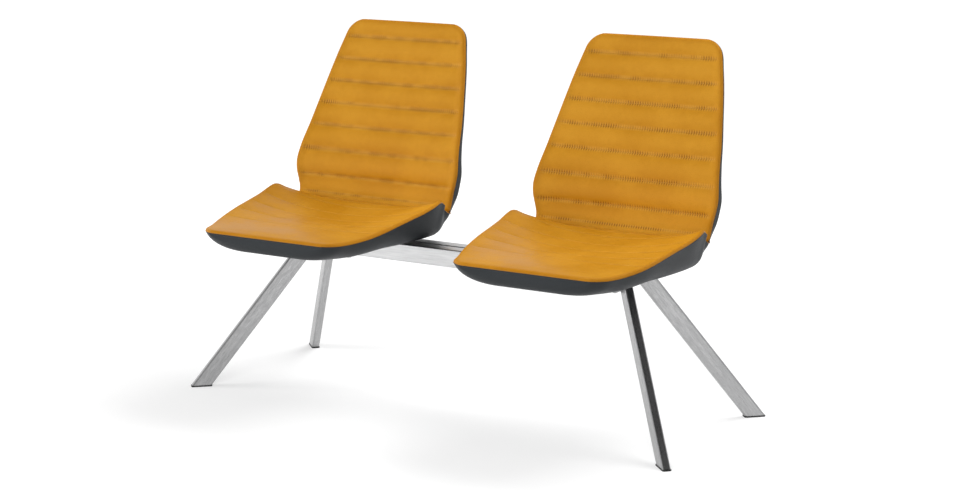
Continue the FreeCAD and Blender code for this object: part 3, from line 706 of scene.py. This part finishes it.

# %% [markdown]
# Edges are handled most, so paint and plastic go smooth and a little lighter there. On the
# shell that lighter edge is also a painted highlight, and on the legs and the beam the same
# mask darkens the edges as a painted dark reflection. The Bevel node returns the normal of a
# slightly rounded surface. Where it parts from the true normal, there is an edge, and noise
# breaks the line up.

# %% Shared group: edge wear and painted edge light
edge_wear_and_painted_light_group, source, result = start_group(
    "edge wear and painted edge light",
    [("Vector", "Vector", None), ("Width", "Float", 0.0012), ("Raggedness", "Float", 160.0)],
    [("Mask", "Float")],
)
true_normal = edge_wear_and_painted_light_group.nodes.new("ShaderNodeNewGeometry").outputs["Normal"]
rounded = add(edge_wear_and_painted_light_group, "Bevel", {"Radius": source["Width"]}, samples=3).outputs["Normal"]
likeness = add(edge_wear_and_painted_light_group, "VectorMath", {0: true_normal, 1: rounded}, operation="DOT_PRODUCT")
turned = span(edge_wear_and_painted_light_group, likeness.outputs["Value"], 0.86, 0.995, 1.0, 0.0)
patches = noise(edge_wear_and_painted_light_group, source["Vector"], source["Raggedness"], 4.0)
ragged = span(edge_wear_and_painted_light_group, patches, 0.35, 0.6, 0.3, 1.0)
edge_wear_and_painted_light_group.links.new(calc(edge_wear_and_painted_light_group, "MULTIPLY", turned, ragged), result["Mask"])
print("group:", edge_wear_and_painted_light_group.name)

# %% [markdown]
# The leather is mustard. Painted shade darkens the furrows, a darker band along the rim is
# partly burnish and partly painted shade where the roll turns away, and a painted highlight
# lightens the top of each swell. Beside every row the thread gathers the leather into small
# puckers, one to a stitch: painted shade darkens each pucker, and a painted highlight lightens
# the ridge between two of them. They fade within a centimetre. The surface map gives the
# distance to the nearest row and the place within a stitch, so the puckers follow the seams
# exactly.

# %% Leather
PUCKER_WIDTH = 6.5
PUCKER_DEPTH = 0.0009
PUCKER_PAINTED_SHADE = 0.80
RIDGE_PAINTED_HIGHLIGHT = 0.45
FURROW_PAINTED_SHADE = 0.22
SWELL_PAINTED_HIGHLIGHT = 0.35
RIM_BURNISH_AND_SHADE = 0.50
RIM_BURNISH_AND_SHADE_WIDTH = 16.0
leather, tree, shader = start_finish("mustard leather")
spot = object_place(tree)
surface = add(tree, "SeparateXYZ", {0: add(tree, "UVMap", uv_map="surface").outputs["UV"]})
sewn = add(tree, "Attribute", attribute_name="sewn").outputs["Fac"]
rim = add(tree, "Attribute", attribute_name="rim").outputs["Fac"]

nearest = calc(tree, "ROUND", surface.outputs["Y"])
off_row = calc(tree, "MULTIPLY", calc(tree, "SUBTRACT", surface.outputs["Y"], nearest), PITCH)
row_gap = calc(tree, "ABSOLUTE", off_row)
furrow = calc(tree, "MULTIPLY", span(tree, row_gap, 0.0, 4.5, 1.0, 0.0), sewn)

turn = calc(tree, "MULTIPLY", surface.outputs["X"], 2.0 * math.pi)
wave = calc(tree, "MULTIPLY_ADD", calc(tree, "COSINE", turn), 0.5, 0.5)
patchy = span(tree, noise(tree, spot, 26.0, 2.0), 0.36, 0.6, 0.35, 1.0)
fade = calc(tree, "MULTIPLY", span(tree, row_gap, 1.0, PUCKER_WIDTH + 2.5, 1.0, 0.0), sewn)
pucker = calc(tree, "MULTIPLY", calc(tree, "MULTIPLY", wave, fade), patchy)

drift = use_group(tree, drift_group, Vector=spot, Broad=9.0, Fine=70.0)["Mask"]
grain = use_group(tree, grain_group, Vector=spot, Size=620.0, Depth=0.00014)
stretched = add(tree, "Mapping", {"Vector": spot, "Scale": (9.0, 60.0, 60.0), "Rotation": (0.0, 0.0, 0.12)})
soft_creases = noise(tree, stretched.outputs[0], 1.0, 3.0, 0.55)

tone = blend(tree, drift, (0.500, 0.214, 0.0070), (0.580, 0.266, 0.0160))
# Painted highlight: the top of each swell is made lighter.
painted_swell_highlight = calc(tree, "MULTIPLY", span(tree, row_gap, 6.0, 28.0, 0.0, SWELL_PAINTED_HIGHLIGHT), sewn)
tone = blend(tree, painted_swell_highlight, tone, (0.640, 0.306, 0.0280))
# Painted shade: each pucker is darkened.
painted_pucker_shade = calc(tree, "MULTIPLY", pucker, PUCKER_PAINTED_SHADE)
tone = blend(tree, painted_pucker_shade, tone, (0.200, 0.062, 0.0015))
# Painted highlight: the ridge between two puckers is made lighter.
painted_ridge_highlight = calc(tree, "MULTIPLY", calc(tree, "SUBTRACT", fade, pucker), RIDGE_PAINTED_HIGHLIGHT)
tone = blend(tree, painted_ridge_highlight, tone, (0.780, 0.430, 0.0750))
# Painted shade: the furrow under the thread is darkened.
tone = blend(tree, calc(tree, "MULTIPLY", furrow, FURROW_PAINTED_SHADE), tone, (0.300, 0.105, 0.0030))
# Burnish and painted shade: a darker band along the rim.
rim_burnish_and_shade = span(tree, rim, 0.0, RIM_BURNISH_AND_SHADE_WIDTH, RIM_BURNISH_AND_SHADE, 0.0)
tone = blend(tree, rim_burnish_and_shade, tone, (0.400, 0.140, 0.0025))
tone = blend(tree, calc(tree, "MULTIPLY", grain["Creases"], 0.22), tone, (0.330, 0.125, 0.0030))
tree.links.new(tone, shader.inputs["Base Color"])

shine = span(tree, drift, 0.0, 1.0, 0.40, 0.50)
shine = calc(tree, "MULTIPLY_ADD", grain["Creases"], 0.10, shine)
shine = calc(tree, "MULTIPLY_ADD", furrow, 0.12, shine)
tree.links.new(shine, shader.inputs["Roughness"])
shader.inputs["Specular IOR Level"].default_value = 0.30

height = calc(tree, "MULTIPLY_ADD", pucker, -PUCKER_DEPTH, grain["Height"])
height = calc(tree, "MULTIPLY_ADD", soft_creases, 0.0006, height)
bumped(tree, shader, height)
print("leather nodes:", len(tree.nodes))

# %% [markdown]
# The thread is a shade lighter than the leather, with a twist of fine ridges across it. At
# this size it needs no more than streaks and a soft sheen.

# %% Thread
thread, tree, shader = start_finish("tonal thread")
spot = object_place(tree)
twist = use_group(tree, streak_group, Vector=spot, Direction=(0.8, 0.2, 0.57), Fineness=2600.0)
tone = blend(tree, twist["Mask"], (0.520, 0.250, 0.0300), (0.760, 0.450, 0.1100))
tree.links.new(tone, shader.inputs["Base Color"])
tree.links.new(span(tree, twist["Mask"], 0.0, 1.0, 0.62, 0.48), shader.inputs["Roughness"])
bumped(tree, shader, calc(tree, "MULTIPLY", twist["Mask"], 0.00012))
print("thread nodes:", len(tree.nodes))

# %% [markdown]
# The shell is moulded in a slate-grey plastic with a fine eroded grain: half matt, so that
# it shows broad soft light and no clear reflections. Its thin upper edge, where hands hold
# it, is worn a little lighter, and that lighter edge is partly a painted highlight.

# %% Slate-grey shell
shell, tree, shader = start_finish("slate shell")
spot = object_place(tree)
drift = use_group(tree, drift_group, Vector=spot, Broad=5.0, Fine=240.0)["Mask"]
grain = use_group(tree, grain_group, Vector=spot, Size=1500.0, Depth=0.00003)
edge_wear_and_painted_light = use_group(tree, edge_wear_and_painted_light_group, Vector=spot, Width=0.0012, Raggedness=120.0)["Mask"]
tone = blend(tree, drift, (0.0285, 0.0320, 0.0350), (0.0370, 0.0410, 0.0445))
tone = blend(tree, calc(tree, "MULTIPLY", grain["Creases"], 0.4), tone, (0.0240, 0.0270, 0.0295))
# Wear and painted highlight: the edges turn lighter.
tone = blend(tree, calc(tree, "MULTIPLY", edge_wear_and_painted_light, 0.5), tone, (0.0950, 0.1020, 0.1060))
tree.links.new(tone, shader.inputs["Base Color"])
shine = span(tree, drift, 0.0, 1.0, 0.46, 0.56)
tree.links.new(calc(tree, "MULTIPLY_ADD", edge_wear_and_painted_light, -0.12, shine), shader.inputs["Roughness"])
shader.inputs["Specular IOR Level"].default_value = 0.16
bumped(tree, shader, grain["Height"])
print("shell nodes:", len(tree.nodes))

# %% [markdown]
# The legs are flat steel tube, brushed along their length, with a painted dark reflection along
# their edges. All four lean alike away from the middle, so the place is folded onto one leg by
# taking the distance from the middle as positive on both sides. One direction then fits every leg.

# %% Brushed leg tube
LEG_DIRECTION = Vector((0.42, 0.46, -0.78)).normalized()
leg_steel, tree, shader = start_finish("brushed leg steel")
spot = object_place(tree)
centred = add(tree, "VectorMath", {0: spot, 1: (0.0, BEAM_Y * 0.001, 0.0)}, operation="SUBTRACT")
folded = add(tree, "VectorMath", {0: centred.outputs[0]}, operation="ABSOLUTE").outputs[0]
brushed = use_group(
    tree, streak_group, Vector=folded, Direction=tuple(LEG_DIRECTION), Fineness=1100.0
)
drift = use_group(tree, drift_group, Vector=spot, Broad=12.0, Fine=150.0)["Mask"]
edge_wear_and_painted_light = use_group(tree, edge_wear_and_painted_light_group, Vector=spot, Width=0.0032, Raggedness=200.0)["Mask"]
tone = blend(tree, brushed["Mask"], (0.350, 0.350, 0.354), (0.490, 0.490, 0.494))
tone = blend(tree, calc(tree, "MULTIPLY", brushed["Broad"], 0.35), tone, (0.290, 0.290, 0.294))
tone = blend(tree, calc(tree, "MULTIPLY", drift, 0.2), tone, (0.520, 0.520, 0.525))
# Painted dark reflection: the edges turn almost black.
tone = blend(tree, calc(tree, "MULTIPLY", edge_wear_and_painted_light, 1.0), tone, (0.030, 0.030, 0.031))
tree.links.new(tone, shader.inputs["Base Color"])
shader.inputs["Metallic"].default_value = 1.0
shine = span(tree, brushed["Mask"], 0.0, 1.0, 0.36, 0.22)
tree.links.new(calc(tree, "MULTIPLY_ADD", drift, 0.06, shine), shader.inputs["Roughness"])
bumped(tree, shader, calc(tree, "MULTIPLY", brushed["Mask"], 0.00001))
print("leg nodes:", len(tree.nodes))

# %% [markdown]
# The beam is an aluminium extrusion. The die leaves straight lines along its whole length,
# and the anodised skin is paler and more even than the brushed legs. Its edges carry a
# painted dark reflection.

# %% Extruded beam
beam_aluminium, tree, shader = start_finish("anodised beam")
spot = object_place(tree)
drawn = use_group(tree, streak_group, Vector=spot, Direction=(1.0, 0.0, 0.0), Fineness=700.0)
drift = use_group(tree, drift_group, Vector=spot, Broad=6.0, Fine=110.0)["Mask"]
edge_wear_and_painted_light = use_group(tree, edge_wear_and_painted_light_group, Vector=spot, Width=0.0010, Raggedness=200.0)["Mask"]
tone = blend(tree, drawn["Mask"], (0.600, 0.602, 0.606), (0.700, 0.702, 0.706))
tone = blend(tree, calc(tree, "MULTIPLY", drawn["Broad"], 0.25), tone, (0.520, 0.522, 0.526))
# Painted dark reflection: the edges of the beam are darkened.
tone = blend(tree, calc(tree, "MULTIPLY", edge_wear_and_painted_light, 0.6), tone, (0.100, 0.100, 0.102))
tree.links.new(tone, shader.inputs["Base Color"])
shader.inputs["Metallic"].default_value = 1.0
shine = span(tree, drawn["Mask"], 0.0, 1.0, 0.38, 0.28)
tree.links.new(calc(tree, "MULTIPLY_ADD", drift, 0.05, shine), shader.inputs["Roughness"])
bumped(tree, shader, calc(tree, "MULTIPLY", drawn["Mask"], 0.00001))
print("beam nodes:", len(tree.nodes))

# %% [markdown]
# The hidden parts are finished as well, because the object is seen from all sides: black
# powder coating on the plates, zinc on the screws, veneers along the boards' edges, and
# plain black plastic on glides and pegs.

# %% Powder coat, zinc and black plastic
coated_steel, tree, shader = start_finish("black powder coat")
spot = object_place(tree)
drift = use_group(tree, drift_group, Vector=spot, Broad=14.0, Fine=300.0)["Mask"]
grain = use_group(tree, grain_group, Vector=spot, Size=1100.0, Depth=0.00005)
edge_wear_and_painted_light = use_group(tree, edge_wear_and_painted_light_group, Vector=spot, Width=0.0010, Raggedness=180.0)["Mask"]
tone = blend(tree, drift, (0.018, 0.018, 0.019), (0.030, 0.030, 0.032))
tone = blend(tree, calc(tree, "MULTIPLY", edge_wear_and_painted_light, 0.6), tone, (0.110, 0.110, 0.112))
tree.links.new(tone, shader.inputs["Base Color"])
tree.links.new(span(tree, drift, 0.0, 1.0, 0.48, 0.60), shader.inputs["Roughness"])
bumped(tree, shader, grain["Height"])

zinc_steel, tree, shader = start_finish("zinc plating")
spot = object_place(tree)
drift = use_group(tree, drift_group, Vector=spot, Broad=60.0, Fine=420.0)["Mask"]
edge_wear_and_painted_light = use_group(tree, edge_wear_and_painted_light_group, Vector=spot, Width=0.0006, Raggedness=500.0)["Mask"]
tone = blend(tree, drift, (0.430, 0.440, 0.460), (0.620, 0.625, 0.630))
tone = blend(tree, calc(tree, "MULTIPLY", edge_wear_and_painted_light, 0.5), tone, (0.760, 0.765, 0.770))
tree.links.new(tone, shader.inputs["Base Color"])
shader.inputs["Metallic"].default_value = 1.0
tree.links.new(span(tree, drift, 0.0, 1.0, 0.30, 0.46), shader.inputs["Roughness"])


def black_plastic(name, dark, light, size):
    """Plain moulded plastic with lighter scuffed edges; glides are scuffed by the floor, pegs alike."""
    material, tree, shader = start_finish(name)
    spot = object_place(tree)
    drift = use_group(tree, drift_group, Vector=spot, Broad=30.0, Fine=260.0)["Mask"]
    grain = use_group(tree, grain_group, Vector=spot, Size=size, Depth=0.00004)
    edge_wear_and_painted_light = use_group(tree, edge_wear_and_painted_light_group, Vector=spot, Width=0.0008, Raggedness=300.0)["Mask"]
    tone = blend(tree, drift, dark, light)
    tone = blend(tree, calc(tree, "MULTIPLY", edge_wear_and_painted_light, 0.4), tone, tuple(3.0 * c for c in light))
    tree.links.new(tone, shader.inputs["Base Color"])
    tree.links.new(span(tree, drift, 0.0, 1.0, 0.45, 0.62), shader.inputs["Roughness"])
    bumped(tree, shader, grain["Height"])
    return material


glide_plastic = black_plastic("black glide", (0.008, 0.008, 0.009), (0.016, 0.016, 0.017), 1300.0)
peg_plastic = black_plastic("grey peg", (0.090, 0.090, 0.095), (0.140, 0.140, 0.145), 1500.0)
print("coat, zinc and plastics made")

# %% Moulded board with veneers
plywood, tree, shader = start_finish("beech board")
spot = object_place(tree)
fibres = use_group(tree, streak_group, Vector=spot, Direction=(0.0, 1.0, 0.0), Fineness=420.0)
drift = use_group(tree, drift_group, Vector=spot, Broad=7.0, Fine=120.0)["Mask"]
tone = blend(tree, fibres["Mask"], (0.420, 0.255, 0.125), (0.600, 0.410, 0.225))
tone = blend(tree, calc(tree, "MULTIPLY", drift, 0.4), tone, (0.520, 0.330, 0.165))
tone = blend(tree, calc(tree, "MULTIPLY", fibres["Broad"], 0.3), tone, (0.330, 0.190, 0.090))
tree.links.new(tone, shader.inputs["Base Color"])
tree.links.new(span(tree, fibres["Mask"], 0.0, 1.0, 0.66, 0.52), shader.inputs["Roughness"])
bumped(tree, shader, calc(tree, "MULTIPLY", fibres["Mask"], 0.00006))
print("board nodes:", len(tree.nodes))

# %% Finishes on their pieces
FINISH = {
    "leather": leather,
    "shell_plastic": shell,
    "plywood": plywood,
    "coated_steel": coated_steel,
    "beam_aluminium": beam_aluminium,
    "leg_steel": leg_steel,
    "glide_plastic": glide_plastic,
    "zinc_steel": zinc_steel,
    "peg_plastic": peg_plastic,
}
SLOT = {entry["node"]: entry["material_slot"] for entry in frame["record"]["subparts"]}
for name, node in NODES.items():
    node.data.materials.clear()
    node.data.materials.append(FINISH[SLOT[name]])
for piece in cushions.values():
    piece.data.materials.append(leather)
for piece in threads:
    piece.data.materials.append(thread)
print("finished nodes:", len(NODES))

# %% [markdown]
# The studio is a pale floor under a white surround. The floor glows only for the camera and
# in reflections, so the background turns white without lighting the seats any further, and
# the floor still keeps their soft shadow. The surround is white for the camera. Reflections
# find a dim ceiling and a dimmer room in it, and all other rays get a weak, even light.

# %% Floor
FLOOR_GLOW = 0.46
FLOOR_FAR_GLOW = 0.88
bm = bmesh.new()
bmesh.ops.create_grid(bm, x_segments=1, y_segments=1, size=14.0)
floor_mesh = bpy.data.meshes.new("studio_floor")
bm.to_mesh(floor_mesh)
bm.free()
floor = bpy.data.objects.new("studio_floor", floor_mesh)
bpy.context.scene.collection.objects.link(floor)
floor_finish, tree, shader = start_finish("pale floor")
spot = object_place(tree)
tone = blend(tree, noise(tree, spot, 3.0), (0.615, 0.615, 0.615), (0.625, 0.625, 0.625))
tree.links.new(tone, shader.inputs["Base Color"])
shader.inputs["Roughness"].default_value = 0.9
shader.inputs["Specular IOR Level"].default_value = 0.0
rays = add(tree, "LightPath").outputs
seen = calc(tree, "MAXIMUM", rays["Is Camera Ray"], rays["Is Glossy Ray"])
shader.inputs["Emission Color"].default_value = (1.0, 1.0, 1.0, 1.0)
away = add(tree, "VectorMath", {0: spot}, operation="LENGTH").outputs["Value"]
glow = span(tree, away, 0.9, 3.0, FLOOR_GLOW, FLOOR_FAR_GLOW)
tree.links.new(calc(tree, "MULTIPLY", seen, glow), shader.inputs["Emission Strength"])
floor.data.materials.append(floor_finish)
print("floor:", [round(v, 1) for v in floor.dimensions])

# %% Surround
SURROUND_LIGHT = 0.30
CEILING_SEEN = 0.15
ROOM_SEEN = 0.55
world = bpy.data.worlds.new("studio")
bpy.context.scene.world = world
world.use_nodes = True
tree = world.node_tree
rays = add(tree, "LightPath").outputs
heading = add(tree, "TexCoord").outputs["Generated"]
upward = add(tree, "SeparateXYZ", {0: heading}).outputs["Z"]
wall = span(tree, upward, 0.30, 0.75, 1.0, CEILING_SEEN)
room = add(tree, "VectorMath", {0: heading, 1: (0.75, -0.66, 0.0)}, operation="DOT_PRODUCT")
wall = calc(tree, "MULTIPLY", wall, span(tree, room.outputs["Value"], -0.3, 0.7, 1.0, ROOM_SEEN))
mirrored = calc(tree, "MULTIPLY", rays["Is Glossy Ray"], wall)
seen = calc(tree, "MAXIMUM", rays["Is Camera Ray"], rays["Is Glossy Ray"])
lit = calc(tree, "MULTIPLY", calc(tree, "SUBTRACT", 1.0, seen), SURROUND_LIGHT)
strength = calc(tree, "ADD", calc(tree, "ADD", mirrored, rays["Is Camera Ray"]), lit)
tree.links.new(strength, tree.nodes["Background"].inputs["Strength"])
tree.nodes["Background"].inputs["Color"].default_value = (1.0, 1.0, 1.0, 1.0)
print("surround light:", SURROUND_LIGHT)

# %% [markdown]
# Three soft lamps light the seats: a wide one from the left, a smaller one from the front,
# and one from behind and above that throws the shadows forward. No lamp shows as a bright
# square in the brushed metal, because none is visible in reflections.

# %% Lamps


def soft_lamp(name, size, power, position, target):
    """A large rectangular lamp that looks at a target."""
    lamp = bpy.data.lights.new(name, "AREA")
    lamp.shape = "RECTANGLE"
    lamp.size, lamp.size_y = size
    lamp.energy = power
    holder = bpy.data.objects.new(name, lamp)
    holder.location = position
    aim = Vector(target) - Vector(position)
    holder.rotation_euler = aim.to_track_quat("-Z", "Y").to_euler()
    holder.visible_glossy = False
    bpy.context.scene.collection.objects.link(holder)


soft_lamp("key", (2.6, 2.0), 225.0, (-5.0, -2.9, 1.6), (0.0, 0.0, 0.6))
soft_lamp("front", (1.8, 1.4), 50.0, (1.3, -2.7, 2.4), (0.3, 0.0, 0.5))
soft_lamp("rear top", (2.2, 1.4), 66.0, (0.7, 1.3, 2.9), (0.1, -0.15, 0.4))
print("lamps set")

# %% Camera
camera_data = bpy.data.cameras.new("view")
camera_data.sensor_width = 36.0
camera_data.lens = 2070.0 / 970.0 * 36.0
camera = bpy.data.objects.new("view", camera_data)
camera.location = (2.5997, -4.158 + BEAM_Y * 0.001, 1.3864)
camera.rotation_euler = (math.radians(90.0 - 11.67), 0.0, math.radians(31.6))
bpy.context.scene.collection.objects.link(camera)
bpy.context.scene.camera = camera
bpy.context.scene.view_settings.view_transform = "Standard"
print("camera at", [round(v, 3) for v in camera.location])
